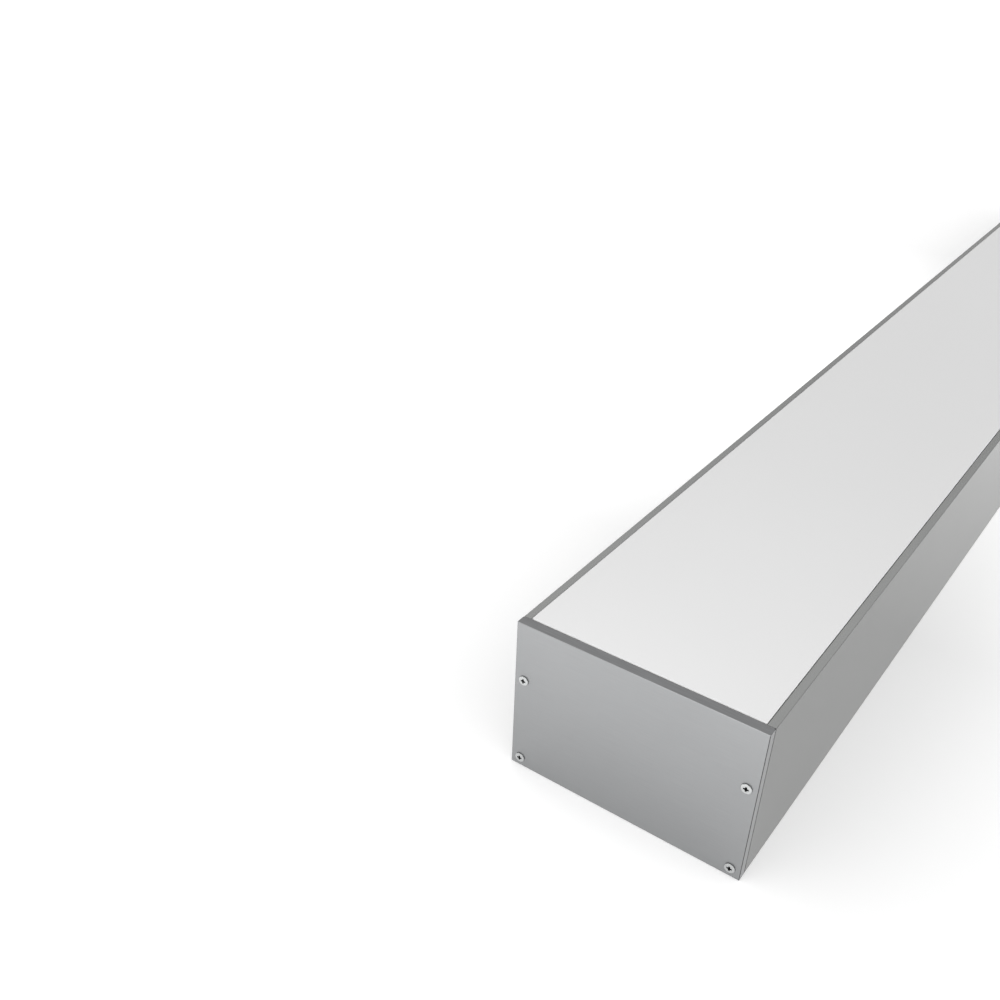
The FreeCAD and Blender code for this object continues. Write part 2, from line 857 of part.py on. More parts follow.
def make_terminal_block():
    """A three-pole block with a through hole and two clamping screws to each pole."""
    base = box(
        "block_base",
        "Sizes.block_length",
        "Sizes.block_width",
        "Sizes.block_height",
        "Sizes.block_station",
        "Sizes.block_centre - Sizes.block_width / 2",
        TRAY_TOP,
    )
    middle = "Sizes.block_station + Sizes.block_length / 2"
    block_top = f"{TRAY_TOP} + Sizes.block_height"
    stations = [f"{middle} + {side} * Sizes.well_spread" for side in SIDES]
    reach = "(Sizes.block_width / 2 - Sizes.block_screw_inset)"
    fixings = [f"Sizes.block_centre + {side} * {reach}" for side in SIDES]
    tools = []
    for index, y in enumerate(pole_offsets()):
        length = f"Sizes.block_length + 2 * {PAST}"
        start = f"Sizes.block_station - {PAST}"
        name = f"block_pole_{index}"
        tools.append(cylinder(name, "Sizes.pole_bore", length, start, y, "Sizes.pole_height", "x"))
        depth = f"{block_top} - Sizes.pole_height + {PAST}"
        for x in stations:
            well = f"block_well_{len(tools)}"
            tools.append(cylinder(well, "Sizes.well_radius", depth, x, y, "Sizes.pole_height"))
    height = f"Sizes.block_height + 2 * {PAST}"
    for index, y in enumerate(fixings):
        name = f"block_fixing_{index}"
        tools.append(cylinder(name, "Sizes.plate_hole", height, middle, y, f"{TRAY_TOP} - {PAST}"))
    node(cut("terminal_block", base, tools), "terminal_block")

    clamp_screw = common_screw("Sizes.terminal_screw_length")
    top = size("Sizes.pole_height + Sizes.terminal_screw_rise")
    spots = [Vector(size(x), size(y), top) for x in stations for y in pole_offsets()]
    grouped("terminal_screws", [turned(clamp_screw, s, Vector(0, 0, 1)) for s in spots])

    fixing = common_screw("Sizes.block_height")
    spots = [Vector(size(middle), size(y), size(block_top)) for y in fixings]
    grouped("terminal_block_screws", [turned(fixing, s, Vector(0, 0, 1)) for s in spots])


def tab_offsets():
    """The places across the bar of the cut-out's two tabs."""
    return [size(f"Sizes.button_offset + {side} * Sizes.tab_spread") for side in SIDES]


def make_cutout():
    """The manual-reset thermal cut-out, with its two tabs."""
    cutout = box(
        "thermal_cutout",
        "Sizes.cutout_length",
        "Sizes.cutout_width",
        "Sizes.cutout_height",
        "Sizes.cutout_station",
        "Sizes.button_offset - Sizes.cutout_width / 2",
        "Sizes.cutout_floor",
    )
    node(cutout, "thermal_cutout")
    length, width, thickness = (size(f"Sizes.tab_{side}") for side in ("length", "width", "thickness"))
    tabs = []
    for y in tab_offsets():
        spot = Vector(size("Sizes.cutout_station") - length, y - width / 2, size("Sizes.tab_floor"))
        tabs.append(Part.makeBox(length, width, thickness, spot))
    grouped("cutout_tabs", tabs)


def make_cutout_bracket():
    """The angle that holds the cut-out up by the end plate, and its two screws."""
    width = "(Sizes.cutout_width + 2 * Sizes.bracket_margin)"
    side_y = f"Sizes.button_offset - {width} / 2"
    sheet_metal = "Sizes.tray_thickness"
    foot_x = f"{BRACKET_X} - Sizes.bracket_foot"
    leg = box("bracket_leg", sheet_metal, width, "Sizes.bracket_height", BRACKET_X, side_y, TRAY_TOP)
    foot = box("bracket_foot", "Sizes.bracket_foot", width, sheet_metal, foot_x, side_y, TRAY_TOP)
    solid = fuse("bracket_solid", [leg, foot])

    depth = f"{sheet_metal} + 2 * {PAST}"
    spot = (f"{BRACKET_X} - {PAST}", "Sizes.button_offset", "Sizes.button_height")
    holes = [cylinder("bracket_opening", "Sizes.bracket_opening", depth, *spot, "x")]
    screw_x = f"{foot_x} + Sizes.bracket_screw_inset"
    screw_ys = [f"Sizes.button_offset + {side} * Sizes.bracket_screw_spread" for side in SIDES]
    for index, y in enumerate(screw_ys):
        name = f"bracket_hole_{index}"
        holes.append(cylinder(name, "Sizes.plate_hole", depth, screw_x, y, f"{TRAY_TOP} - {PAST}"))
    node(cut("cutout_bracket", solid, holes), "cutout_bracket")

    screw = common_screw("Sizes.bracket_screw_length")
    foot_top = size(f"{TRAY_TOP} + {sheet_metal}")
    spots = [Vector(size(screw_x), size(y), foot_top) for y in screw_ys]
    grouped("cutout_bracket_screws", [turned(screw, s, Vector(0, 0, 1)) for s in spots])


def make_reset_button():
    """A push button through the right end plate, with a flange that keeps it in."""
    x_out = f"{HALF_LENGTH} + Sizes.button_proud"
    plate_x = f"{HALF_LENGTH} - Sizes.plate_thickness"
    thickness = "Sizes.button_flange_thickness"
    flange_x = f"{plate_x} - Sizes.button_flange_gap - {thickness}"
    plunger_x = f"{BRACKET_X} + Sizes.plunger_gap"
    plunger_length = f"{flange_x} - ({plunger_x})"
    cap_length = f"{x_out} - ({flange_x})"
    spot = ("Sizes.button_offset", "Sizes.button_height")
    pieces = [
        cylinder("button_plunger", "Sizes.plunger_radius", plunger_length, plunger_x, *spot, "x"),
        cylinder("button_flange", "Sizes.button_flange", thickness, flange_x, *spot, "x"),
        cylinder("button_cap", "Sizes.button_radius", cap_length, flange_x, *spot, "x"),
    ]
    joined = fuse("button_solid", pieces)
    doc.recompute()
    rounding = doc.addObject("Part::Fillet", "reset_button")
    rounding.Base = joined
    outer_x = size(x_out)
    radius = size("Sizes.button_rounding")
    rim = [
        (index, radius, radius)
        for index, edge in enumerate(joined.Shape.Edges, start=1)
        if edge.BoundBox.XMin > outer_x - 1e-6
    ]
    rounding.Edges = rim
    return node(rounding, "reset_button")


def make_earth_stud():
    """A stud on the wiring tray, with the earth wire's ring and the nut that clamps it."""
    spot = Vector(size("Sizes.stud_station"), size("Sizes.stud_offset"), size(TRAY_TOP))
    stud = doc.addObject("Part::Feature", "earth_stud")
    flange = Part.makeCylinder(size("Sizes.stud_flange"), size("Sizes.stud_flange_height"), spot)
    post = Part.makeCylinder(size("Sizes.stud_radius"), size("Sizes.stud_length"), spot)
    stud.Shape = flange.fuse(post).removeSplitter()
    node(stud, "earth_stud")

    ring = doc.addObject("Part::Feature", "earth_ring")
    thickness = size("Sizes.ring_thickness")
    width = size("Sizes.ring_tongue_width")
    seat = spot + Vector(0, 0, size("Sizes.stud_flange_height"))
    corner = seat + Vector(0, -width / 2, 0)
    tongue = Part.makeBox(size("Sizes.ring_tongue_length"), width, thickness, corner)
    eye = Part.makeCylinder(size("Sizes.ring_radius"), thickness, seat).fuse(tongue)
    ring.Shape = eye.cut(Part.makeCylinder(size("Sizes.ring_bore"), thickness, seat)).removeSplitter()
    node(ring, "earth_ring")

    nut = doc.addObject("Part::Feature", "earth_nut")
    floor = seat + Vector(0, 0, thickness)
    height = size("Sizes.earth_nut_height")
    corner = Vector(size("Sizes.earth_nut_radius"), 0, 0)
    turns = [Rotation(Vector(0, 0, 1), 60 * step) for step in range(7)]
    outline = Part.makePolygon([floor + turn.multVec(corner) for turn in turns])
    prism = Part.Face(outline).extrude(Vector(0, 0, height))
    nut.Shape = prism.cut(Part.makeCylinder(size("Sizes.earth_nut_bore"), height, floor))
    node(nut, "earth_nut")


def make_wires():
    """The wires inside the casing, each whole from end to end."""
    radius = size("Sizes.wire_radius")
    live_y, neutral_y, earth_y = (size(y) for y in pole_offsets())
    tab_low, tab_high = tab_offsets()
    pole_z = size("Sizes.pole_height")
    start_x = size("Sizes.block_station + Sizes.block_length - Sizes.wire_bite")
    pin_x = size("Sizes.pin_end")
    pin_z = size(ELEMENT_HEIGHT)
    leg = size(LEG_Y)
    tab_x = size("Sizes.cutout_station - Sizes.tab_length")
    tab_z = size("Sizes.tab_floor + Sizes.tab_thickness / 2")
    ring_x = size("Sizes.stud_station + Sizes.ring_tongue_length")
    ring_z = size(f"{TRAY_TOP} + Sizes.stud_flange_height + Sizes.ring_thickness / 2")
    stud_y = size("Sizes.stud_offset")
    neutral_x = size("Sizes.neutral_rise_station")
    link_x = size("Sizes.element_rise_station")
    live_x = size("Sizes.live_rise_station")
    earth_x = size("Sizes.earth_drop_station")
    routes = {
        "live_wire": [
            (start_x, live_y, pole_z),
            (live_x, live_y, pole_z),
            (live_x, tab_high, pole_z),
            (live_x, tab_high, tab_z),
            (tab_x, tab_high, tab_z),
        ],
        "element_wire": [
            (tab_x, tab_low, tab_z),
            (link_x, tab_low, tab_z),
            (link_x, leg, pin_z),
            (pin_x, leg, pin_z),
        ],
        "neutral_wire": [
            (start_x, neutral_y, pole_z),
            (neutral_x, neutral_y, pole_z),
            (neutral_x, -leg, pin_z),
            (pin_x, -leg, pin_z),
        ],
        "earth_wire": [
            (start_x, earth_y, pole_z),
            (earth_x, earth_y, pole_z),
            (earth_x, stud_y, ring_z),
            (ring_x, stud_y, ring_z),
        ],
    }
    for label, corners in routes.items():
        rod_node(label, corners, radius, size("Sizes.wire_bend"))


# Wall rail


def make_wall_nut(label, side):
    """A T-nut that slides along the rail in the wall face and takes a wall screw."""
    gap = "Sizes.nut_clearance"
    body = new_body(label)
    profile = sketch_on(body, "YZ_Plane", f"{label}_profile")
    neck = f"Sizes.slot_width / 2 - {gap}"
    head = f"Sizes.slot_cavity_width / 2 - {gap}"
    shoulder = f"Sizes.slot_lip + {gap}"
    half = [
        (neck, "Sizes.nut_recess"),
        (neck, shoulder),
        (head, shoulder),
        (head, f"Sizes.slot_cavity_top - {gap}"),
    ]
    add_outline(profile, mirrored(half))
    pad(body, profile, "Sizes.nut_length", f"{label}_pad")
    bore = sketch_on(body, "XY_Plane", f"{label}_bore")
    add_circle(bore, ("Sizes.nut_length / 2", "0"), "Sizes.nut_bore")
    pocket(body, bore, "Sizes.slot_cavity_top", f"{label}_pocket")
    place(body, f"{side} * Sizes.nut_station - Sizes.nut_length / 2")
    return node(body, label)


def check_everything():
    """Stops if any object failed or any sub-part has no sound shape."""
    doc.recompute()
    for item in doc.Objects:
        if {"Invalid", "Error"} & set(item.State):
            raise RuntimeError(f"{item.Label} is {item.State}")
    for item in nodes:
        if item.Shape.isNull() or not item.Shape.isValid() or item.Shape.Volume <= 0:
            raise RuntimeError(f"{item.Label} has no sound shape")


def write_parts():
    os.makedirs("parts", exist_ok=True)
    for item in nodes:
        item.Shape.exportStep(f"parts/{item.Label}.step")


make_casing()
make_end_plate("left_end_plate", -1, False)
make_end_plate("right_end_plate", 1, True)
for end, end_side in (("left", -1), ("right", 1)):
    make_gasket(f"{end}_end_gasket", end_side)
    make_end_screws(f"{end}_end_screws", end_side)
    make_wall_nut(f"{end}_wall_nut", end_side)
make_panel()
make_spreader()
make_element()
make_clamps()
make_trays()
make_tray_screws()
make_insulation()
make_reflector()
make_grommet()
make_terminal_block()
make_cutout()
make_cutout_bracket()
make_reset_button()
make_earth_stud()
make_wires()
check_everything()
write_parts()
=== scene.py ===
"""The looks of a closed radiant baseboard heater: an extruded aluminium bar with a white face.

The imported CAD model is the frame. Outer pieces are rebuilt with rounded edges, the end screws are
turned and cut afresh, and every piece gets a procedural material. Lengths are in metres.
"""

import json
import math

import bmesh
import bpy
from mathutils import Matrix, Vector


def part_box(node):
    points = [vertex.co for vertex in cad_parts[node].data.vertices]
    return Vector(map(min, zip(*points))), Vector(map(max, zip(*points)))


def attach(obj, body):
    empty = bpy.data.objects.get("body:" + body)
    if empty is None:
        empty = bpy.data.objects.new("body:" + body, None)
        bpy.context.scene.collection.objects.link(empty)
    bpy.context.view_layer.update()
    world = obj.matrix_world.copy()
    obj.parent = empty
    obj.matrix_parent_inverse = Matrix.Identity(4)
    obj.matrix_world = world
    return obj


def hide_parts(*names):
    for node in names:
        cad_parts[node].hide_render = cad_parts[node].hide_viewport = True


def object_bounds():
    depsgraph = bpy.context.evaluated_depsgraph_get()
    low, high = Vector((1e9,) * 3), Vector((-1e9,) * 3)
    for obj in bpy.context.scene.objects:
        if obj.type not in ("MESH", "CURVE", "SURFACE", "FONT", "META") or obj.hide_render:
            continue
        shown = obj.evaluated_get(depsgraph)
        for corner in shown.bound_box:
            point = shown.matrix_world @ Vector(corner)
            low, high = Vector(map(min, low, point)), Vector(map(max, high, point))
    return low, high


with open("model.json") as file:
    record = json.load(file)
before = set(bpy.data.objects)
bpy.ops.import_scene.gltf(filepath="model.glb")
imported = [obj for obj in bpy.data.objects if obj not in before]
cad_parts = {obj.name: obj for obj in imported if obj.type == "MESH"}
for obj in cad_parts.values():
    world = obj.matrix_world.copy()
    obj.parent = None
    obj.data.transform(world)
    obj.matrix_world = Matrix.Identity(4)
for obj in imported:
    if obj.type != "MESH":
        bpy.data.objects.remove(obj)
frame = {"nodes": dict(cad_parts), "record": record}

MM = 0.001
NODES = frame["nodes"]
RECORD = frame["record"]
CAD_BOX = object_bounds()
BODY_OF = {
    node: body for body, members in RECORD["behaviour"]["bodies"].items() for node in members
}
SLOT_OF = {part["node"]: part["material_slot"] for part in RECORD["subparts"]}


# Node trees

MIX_COLOR_A, MIX_COLOR_B, MIX_COLOR_RESULT = 6, 7, 2
LOW_NOISE, HIGH_NOISE = 0.3, 0.7


class Tree:
    """A material's node tree, with short calls for the nodes that the materials here use."""

    def __init__(self, name):
        self.material = bpy.data.materials.new(name)
        self.material.use_nodes = True
        self.nodes = self.material.node_tree.nodes
        self.links = self.material.node_tree.links
        self.nodes.clear()
        self.shader = self.nodes.new("ShaderNodeBsdfPrincipled")
        output = self.nodes.new("ShaderNodeOutputMaterial")
        self.links.new(self.shader.outputs["BSDF"], output.inputs["Surface"])
        self.place = self.nodes.new("ShaderNodeTexCoord").outputs["Object"]

    def feed(self, socket, value):
        """Links an output to a socket, or sets the socket's own value."""
        if isinstance(value, bpy.types.NodeSocket):
            self.links.new(value, socket)
        else:
            socket.default_value = value

    def set(self, **values):
        """Sets the shader's sockets: base_color="..." stands for "Base Color"."""
        for name, value in values.items():
            title = name.replace("_", " ").title().replace("Ior", "IOR")
            self.feed(self.shader.inputs[title], value)

    def stretched(self, scale):
        """Object coordinates, scaled by a factor along each axis."""
        mapping = self.nodes.new("ShaderNodeMapping")
        self.links.new(self.place, mapping.inputs["Vector"])
        mapping.inputs["Scale"].default_value = scale
        return mapping.outputs["Vector"]

    def noise(self, scale, detail=3.0, roughness=0.5, stretch=(1, 1, 1)):
        node = self.nodes.new("ShaderNodeTexNoise")
        self.links.new(self.stretched(stretch), node.inputs["Vector"])
        node.inputs["Scale"].default_value = scale
        node.inputs["Detail"].default_value = detail
        node.inputs["Roughness"].default_value = roughness
        return node.outputs["Fac"]

    def normal_part(self, axis):
        """One part of the surface's own direction, in the object's frame."""
        node = self.nodes.new("ShaderNodeSeparateXYZ")
        normal = self.nodes.new("ShaderNodeTexCoord").outputs["Normal"]
        self.links.new(normal, node.inputs["Vector"])
        return node.outputs[axis]

    def cells(self, scale, stretch=(1, 1, 1)):
        """The distance to the nearest of many scattered points."""
        node = self.nodes.new("ShaderNodeTexVoronoi")
        self.links.new(self.stretched(stretch), node.inputs["Vector"])
        node.inputs["Scale"].default_value = scale
        return node.outputs["Distance"]

    def fit(self, value, low, high, to_low, to_high):
        """Maps the range low to high onto to_low to to_high, and clamps it."""
        node = self.nodes.new("ShaderNodeMapRange")
        self.feed(node.inputs["Value"], value)
        for name, number in zip(("From Min", "From Max", "To Min", "To Max"), (low, high, to_low, to_high)):
            node.inputs[name].default_value = number
        return node.outputs["Result"]

    def spread(self, noise, to_low, to_high):
        """Maps the range that a noise mostly covers onto to_low to to_high."""
        return self.fit(noise, LOW_NOISE, HIGH_NOISE, to_low, to_high)

    def math(self, operation, *values):
        node = self.nodes.new("ShaderNodeMath")
        node.operation = operation
        for socket, value in zip(node.inputs, values):
            self.feed(socket, value)
        return node.outputs["Value"]

    def mix(self, factor, first, second):
        """A colour between two colours, or colour outputs."""
        node = self.nodes.new("ShaderNodeMix")
        node.data_type = "RGBA"
        self.feed(node.inputs["Factor"], factor)
        self.feed(node.inputs[MIX_COLOR_A], first)
        self.feed(node.inputs[MIX_COLOR_B], second)
        return node.outputs[MIX_COLOR_RESULT]

    def bump(self, heights, distance, strength=1.0):
        node = self.nodes.new("ShaderNodeBump")
        node.inputs["Strength"].default_value = strength
        node.inputs["Distance"].default_value = distance
        self.links.new(heights, node.inputs["Height"])
        self.links.new(node.outputs["Normal"], self.shader.inputs["Normal"])


def rgb(red, green, blue):
    return (red, green, blue, 1.0)


def grey(level, tint=(1, 1, 1)):
    return rgb(*(level * t for t in tint))


# Materials: levels and colours are linear, bump depths are in metres

NEUTRAL = (1, 1, 1)
COOL = (0.985, 1.0, 1.015)
WARM = (0.985, 1.0, 0.985)
ANODISED_METAL = 0.9
ALONG_THE_BAR = (0.01, 1, 1)
ACROSS_THE_BAR = (1, 0.02, 1)
# painted highlight: how much paler the white coat is painted on faces that do not face up
PAINTED_EDGE_HIGHLIGHT_LIFT = 1.25
PLATE_METAL = 0.85
# painted shade: the dark level painted on the end plates' top and bottom faces, under their saw marks
PAINTED_SHADE_SAWN_LEVEL = 0.155
# painted shade: the near-black level painted on the end plates' upright corner breaks
PAINTED_CORNER_SHADE_LEVEL = 0.06
# painted shade: how dark the sides of the screw heads are painted
SCREW_SIDE_PAINTED_SHADE_LEVEL = 0.5


def brushed_patterns(t, line_stretch):
    """The drawn lines, faint clouds and fine grain of anodised aluminium."""
    lines = t.noise(2600, 2.0, 0.6, line_stretch)
    clouds = t.noise(14, 3.0, 0.55)
    grain = t.noise(5200, 2.0, 0.6)
    return lines, clouds, grain


def anodised(name, level, tint, rough):
    """Satin anodised aluminium: fine lines along the bar and a faint cloudiness."""
    t = Tree(name)
    lines, clouds, grain = brushed_patterns(t, ALONG_THE_BAR)
    shade = t.math("ADD", t.spread(lines, -0.5, 0.5), t.spread(clouds, -0.5, 0.5))
    dark = grey(level * 0.965, tint)
    light = grey(level * 1.035, tint)
    t.set(
        base_color=t.mix(t.fit(shade, -0.8, 0.8, 0, 1), dark, light),
        metallic=ANODISED_METAL,
        roughness=t.spread(grain, rough - 0.03, rough + 0.03),
    )
    t.bump(t.math("ADD", lines, t.math("MULTIPLY", grain, 0.12)), 1e-6, 0.4)
    return t.material


def powder_coat(name, level, tint, rough):
    """Matte powder coat: a fine orange peel over a low swell, and a painted highlight: faces that do not
    face up are painted paler.
    """
    t = Tree(name)
    peel = t.noise(900, 2.0, 0.5)
    swell = t.noise(110, 2.0, 0.5)
    specks = t.cells(1500)
    tone = t.spread(t.noise(6, 2.0, 0.5), 0, 1)
    flat = t.mix(tone, grey(level * 0.99, tint), grey(level * 1.005, tint))
    # painted highlight: rim is 1 on faces that do not face up, and these get the paler colour
    rim = t.fit(t.math("ABSOLUTE", t.normal_part("Z")), 0.65, 0.95, 1, 0)
    t.set(
        base_color=t.mix(rim, flat, grey(level * PAINTED_EDGE_HIGHLIGHT_LIFT, tint)),
        roughness=t.fit(specks, 0.0, 0.6, rough + 0.04, rough - 0.03),
        specular_ior_level=0.4,
    )
    t.bump(t.math("ADD", peel, t.math("MULTIPLY", swell, 0.6)), 12e-6, 0.5)
    return t.material


def plain_metal(name, color, rough, spread, scale):
    """Metal with blotches of roughness and a fine grain."""
    t = Tree(name)
    blotches = t.noise(scale, 4.0, 0.6)
    grain = t.noise(scale * 14, 2.0, 0.5)
    dark = rgb(*(0.86 * c for c in color))
    t.set(
        base_color=t.mix(t.spread(blotches, 0, 1), dark, rgb(*color)),
        metallic=1.0,
        roughness=t.spread(blotches, rough - spread, rough + spread),
    )
    t.bump(grain, 4e-6, 0.4)
    return t.material


def galvanised(name):
    """Zinc-dipped sheet, with its crystal spangle."""
    dull = grey(0.42, (0.98, 1, 1.02))
    bright = grey(0.62, (0.98, 1, 1.02))
    t = Tree(name)
    spangle = t.nodes.new("ShaderNodeTexVoronoi")
    t.links.new(t.place, spangle.inputs["Vector"])
    spangle.inputs["Scale"].default_value = 170
    level = t.nodes.new("ShaderNodeSeparateColor")
    t.links.new(spangle.outputs["Color"], level.inputs["Color"])
    crystal = level.outputs["Red"]
    t.set(
        base_color=t.mix(crystal, dull, bright),
        metallic=1.0,
        roughness=t.fit(crystal, 0, 1, 0.32, 0.5),
    )
    t.bump(t.noise(2400, 2.0, 0.5), 3e-6, 0.4)
    return t.material


def moulded(name, color, rough, grain_scale, grain_depth):
    """Moulded rubber, plastic or ceramic, with a fine surface grain."""
    t = Tree(name)
    tone = t.spread(t.noise(60, 3.0, 0.5), 0, 1)
    grain = t.noise(grain_scale, 3.0, 0.6)
    dark = rgb(*(0.88 * c for c in color))
    t.set(
        base_color=t.mix(tone, dark, rgb(*color)),
        roughness=t.spread(grain, rough - 0.06, rough + 0.06),
    )
    t.bump(grain, grain_depth, 0.5)
    return t.material


def mineral_wool(name):
    """Pressed fibres, in layers along the board."""
    t = Tree(name)
    fibres = t.noise(420, 6.0, 0.75, (0.25, 1, 3))
    layers = t.noise(90, 4.0, 0.7, (0.1, 0.3, 4))
    tone = t.fit(t.math("ADD", fibres, layers), 0.7, 1.3, 0, 1)
    t.set(
        base_color=t.mix(tone, rgb(0.36, 0.31, 0.17), rgb(0.72, 0.66, 0.45)),
        roughness=0.95,
    )
    t.bump(t.math("ADD", fibres, layers), 4e-4, 0.9)
    return t.material


def turned_metal(name, color):
    """A plated screw, with painted shade: the sides of its head are painted darker than its face."""
    t = Tree(name)
    blotches = t.noise(700, 3.0, 0.6)
    facing = t.math("ABSOLUTE", t.normal_part("X"))
    # painted shade: faces that do not point along the screw are painted darker
    painted_side_shade = t.fit(facing, 0.35, 0.75, SCREW_SIDE_PAINTED_SHADE_LEVEL, 1)
    level = t.math("MULTIPLY", painted_side_shade, t.spread(blotches, 0.93, 1))
    t.set(
        base_color=t.mix(level, rgb(0, 0, 0), rgb(*color)),
        metallic=1.0,
        roughness=t.spread(blotches, 0.24, 0.34),
    )
    t.bump(t.noise(4200, 2.0, 0.5), 3e-6, 0.4)
    return t.material


def painted_shade_recess(name):
    """Painted shade for a screw's cross recess: its walls are painted near black, with little gloss."""
    t = Tree(name)
    blotches = t.spread(t.noise(900, 3.0, 0.6), 0, 1)
    t.set(base_color=t.mix(blotches, grey(0.004), grey(0.012)), roughness=0.8, specular_ior_level=0.1)
    t.bump(t.noise(4200, 2.0, 0.5), 3e-6, 0.4)
    return t.material


def cut_plate(name, level, tint, rough):
    """An end plate: anodised faces; its top and bottom faces carry saw marks and are painted darker as
    painted shade, and the breaks at its upright corners are painted near black as painted shade.
    """
    t = Tree(name)
    lines, clouds, grain = brushed_patterns(t, ACROSS_THE_BAR)
    saw_marks = t.noise(1500, 3.0, 0.6, (1, 0.05, 1))
    face_tone = t.fit(t.math("ADD", lines, clouds), 0.7, 1.3, 0, 1)
    face = t.mix(face_tone, grey(level * 0.97, tint), grey(level * 1.03, tint))
    shaded_sawn_dark = grey(PAINTED_SHADE_SAWN_LEVEL * 0.9, tint)
    shaded_sawn_light = grey(PAINTED_SHADE_SAWN_LEVEL * 1.1, tint)
    sawn_and_shaded = t.mix(t.spread(saw_marks, 0, 1), shaded_sawn_dark, shaded_sawn_light)
    lengthwise, across, upward = (t.math("ABSOLUTE", t.normal_part(axis)) for axis in "XYZ")
    # painted shade: faces that point up or down get the darker sawn colour
    shade_on_top_and_bottom = t.fit(upward, 0.85, 0.95, 0, 1)
    # painted shade: the breaks between the lengthwise and the across faces are painted near black
    corner = t.fit(t.math("MULTIPLY", lengthwise, across), 0.15, 0.4, 0, 1)
    t.set(
        base_color=t.mix(corner, t.mix(shade_on_top_and_bottom, face, sawn_and_shaded), grey(PAINTED_CORNER_SHADE_LEVEL, tint)),
        metallic=PLATE_METAL,
        roughness=t.spread(grain, rough - 0.03, rough + 0.03),
    )
    t.bump(t.math("ADD", t.math("MULTIPLY", lines, 0.5), t.math("MULTIPLY", grain, 0.4)), 2e-6, 0.4)
    return t.material


MATERIALS = {
    "anodised_aluminium": anodised("anodised_aluminium", 0.195, WARM, 0.26),
    "end_plate_aluminium": cut_plate("end_plate_aluminium", 0.315, COOL, 0.36),
    "white_enamel": powder_coat("white_enamel", 0.71, NEUTRAL, 0.5),
    "zinc_steel": plain_metal("zinc_steel", (0.70, 0.71, 0.73), 0.28, 0.06, 160),
    "bright_screw": turned_metal("bright_screw", (0.54, 0.55, 0.55)),
    # painted shade: the screw recesses are painted near black
    "screw_recess": painted_shade_recess("screw_recess"),
    "galvanised_steel": galvanised("galvanised_steel"),
    "bright_sheet": plain_metal("bright_sheet", (0.88, 0.89, 0.90), 0.12, 0.04, 40),
    "mill_aluminium": plain_metal("mill_aluminium", (0.66, 0.67, 0.68), 0.36, 0.06, 70),
    "black_rubber": moulded("black_rubber", (0.022, 0.022, 0.023), 0.7, 1500, 2e-5),
    "grey_silicone": moulded("grey_silicone", (0.16, 0.16, 0.163), 0.65, 1500, 1e-5),
    "mineral_wool": mineral_wool("mineral_wool"),
    "element_sheath": plain_metal("element_sheath", (0.34, 0.31, 0.28), 0.42, 0.08, 90),
    "ceramic_white": moulded("ceramic_white", (0.80, 0.78, 0.72), 0.45, 900, 1e-5),
    "phenolic_black": moulded("phenolic_black", (0.03, 0.03, 0.032), 0.4, 1200, 1e-5),
    "brass_plain": plain_metal("brass_plain", (0.78, 0.60, 0.30), 0.25, 0.06, 120),
    "button_red": moulded("button_red", (0.55, 0.035, 0.025), 0.3, 1400, 4e-6),
    "wire_brown": moulded("wire_brown", (0.16, 0.06, 0.03), 0.45, 1200, 6e-6),
    "wire_blue": moulded("wire_blue", (0.03, 0.10, 0.42), 0.45, 1200, 6e-6),
    "wire_green": moulded("wire_green", (0.12, 0.38, 0.06), 0.45, 1200, 6e-6),
}


# Mesh work


def new_object(name, work):
    """An object made from mesh data under construction, which it uses up."""
    mesh = bpy.data.meshes.new(name)
    bmesh.ops.recalc_face_normals(work, faces=work.faces)
    work.to_mesh(mesh)
    work.free()
    item = bpy.data.objects.new(name, mesh)
    bpy.context.scene.collection.objects.link(item)
    return item


def settle(item):
    """Makes the result of an object's modifiers its own mesh."""
    bpy.context.view_layer.update()
    graph = bpy.context.evaluated_depsgraph_get()
    mesh = bpy.data.meshes.new_from_object(item.evaluated_get(graph))
    item.modifiers.clear()
    item.data = mesh


def smooth(item, sharp_angle):
    """Smooth shading, apart from edges sharper than an angle in degrees."""
    item.data.shade_smooth()
    item.data.set_sharp_from_angle(angle=math.radians(sharp_angle))


def stand_in(item, node, materials=None):
    """Puts a finished piece in a CAD node's place, on its body and with its slot."""
    for material in materials or [MATERIALS[SLOT_OF[node]]]:
        item.data.materials.append(material)
    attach(item, BODY_OF[node])
    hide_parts(node)


def rounded_outline(corners, steps=5):
    """A closed outline through corners (u, v, rounding), with an arc at each rounded one."""
    outline = []
    following = corners[1:] + corners[:1]
    for before, (u, v, rounding), after in zip(corners[-1:] + corners, corners, following):
        here = Vector((u, v))
        if rounding == 0:
            outline.append(here)
            continue
        back = (Vector(before[:2]) - here).normalized()
        ahead = (Vector(after[:2]) - here).normalized()
        half_angle = back.angle(ahead) / 2
        centre = here + (back + ahead).normalized() * (rounding / math.sin(half_angle))
        reach = rounding / math.tan(half_angle)
        first = here + back * reach - centre
        last = here + ahead * reach - centre
        spokes = [first.lerp(last, step / steps).normalized() for step in range(steps + 1)]
        outline += [centre + spoke * rounding for spoke in spokes]
    return outline


def spin(work, outline, steps, closed):
    """Faces of a shape turned about Z, from (radius, height) points."""
    rings = []
    for radius, height in outline:
        turns = range(steps) if radius > 0 else [0]
        angles = [2 * math.pi * turn / steps for turn in turns]
        ring = [work.verts.new((radius * math.cos(a), radius * math.sin(a), height)) for a in angles]
        rings.append(ring)
    pairs = zip(rings, rings[1:] + rings[:1]) if closed else zip(rings, rings[1:])
    for low, high in pairs:
        for turn in range(steps):
            along = (turn + 1) % steps
            corners = [low[turn % len(low)], low[along % len(low)]]
            corners += [high[along % len(high)], high[turn % len(high)]]
            distinct = list(dict.fromkeys(corners))
            if len(distinct) > 2:
                work.faces.new(distinct)


# Pieces that stand for CAD nodes

